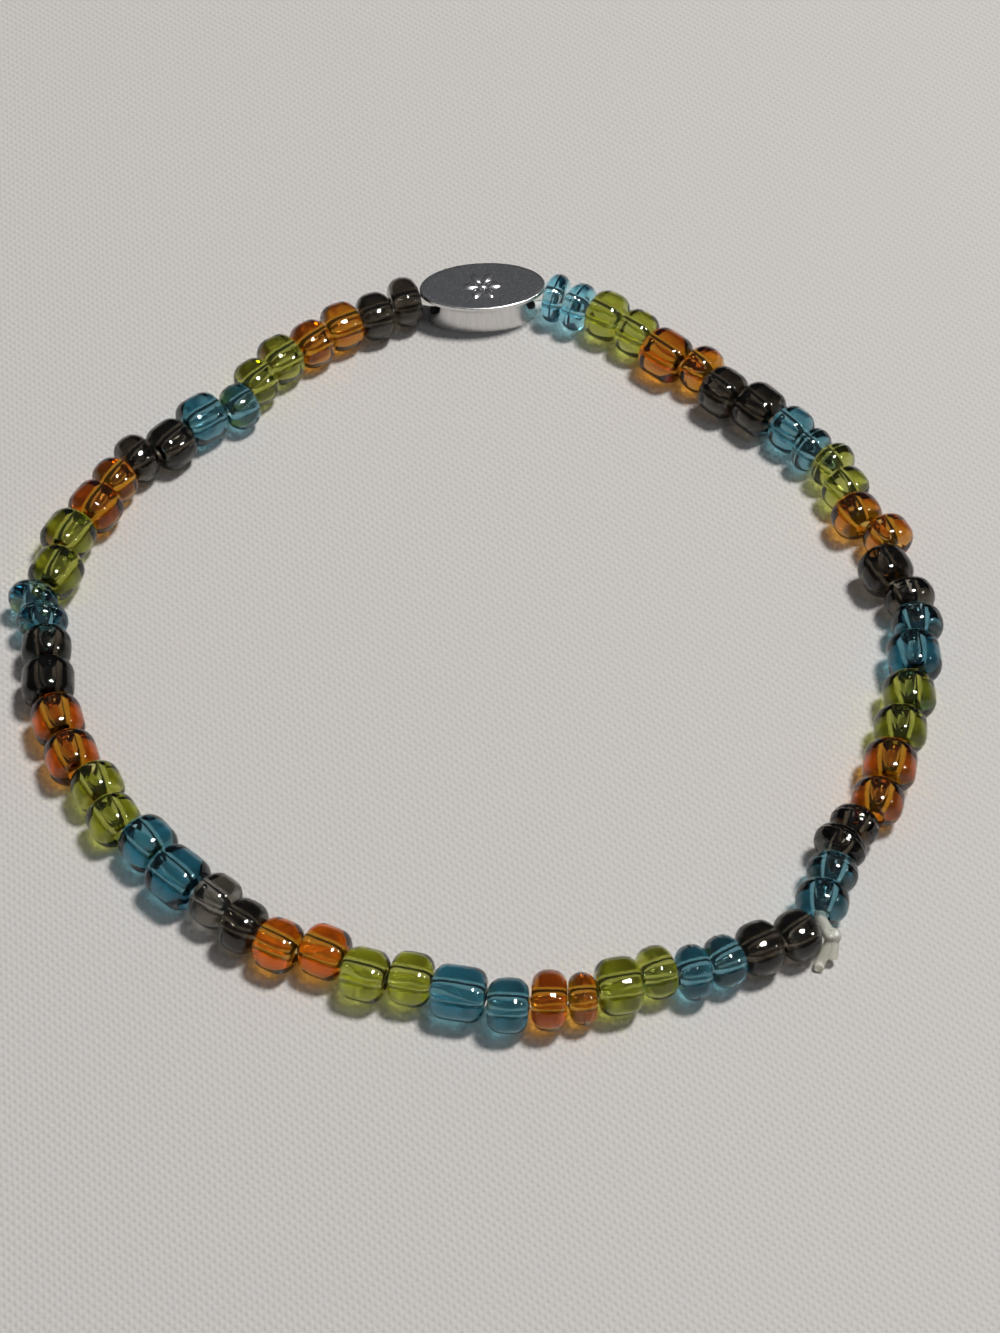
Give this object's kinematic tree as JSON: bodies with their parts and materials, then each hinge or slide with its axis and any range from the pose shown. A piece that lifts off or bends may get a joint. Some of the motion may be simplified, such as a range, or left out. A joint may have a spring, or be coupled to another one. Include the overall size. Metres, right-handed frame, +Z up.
{
  "type": "beaded stretch bracelet",
  "caption": "Stretch bracelet: small glass beads in like-coloured pairs on clear elastic, with an oval spool-shaped metal bead and a knot, lying in an open loop.",
  "frame": {"origin": "on the surface the bracelet lies on, under the middle of its outline", "axes": "+Z up out of that surface, +Y towards the spool bead, +X to the right of someone who looks down on it with the spool bead at the top"},
  "size_m": [0.0686, 0.0692, 0.0041],
  "materials": {
    "blue_glass": "clear teal-blue pressed glass, glossy",
    "green_glass": "clear yellow-green pressed glass, glossy",
    "amber_glass": "clear amber-orange pressed glass, glossy",
    "smoke_glass": "smoky grey-brown pressed glass, glossy",
    "spool_metal": "plated cast metal, satin and lightly scratched on top",
    "clear_elastic": "clear to milky elastic cord"
  },
  "bodies": {
    "root": {"bead_string_right": "blue_glass", "bead_string_left": "green_glass", "spool_bead": "spool_metal", "cord_knot": "clear_elastic"}
  },
  "joints": []
}
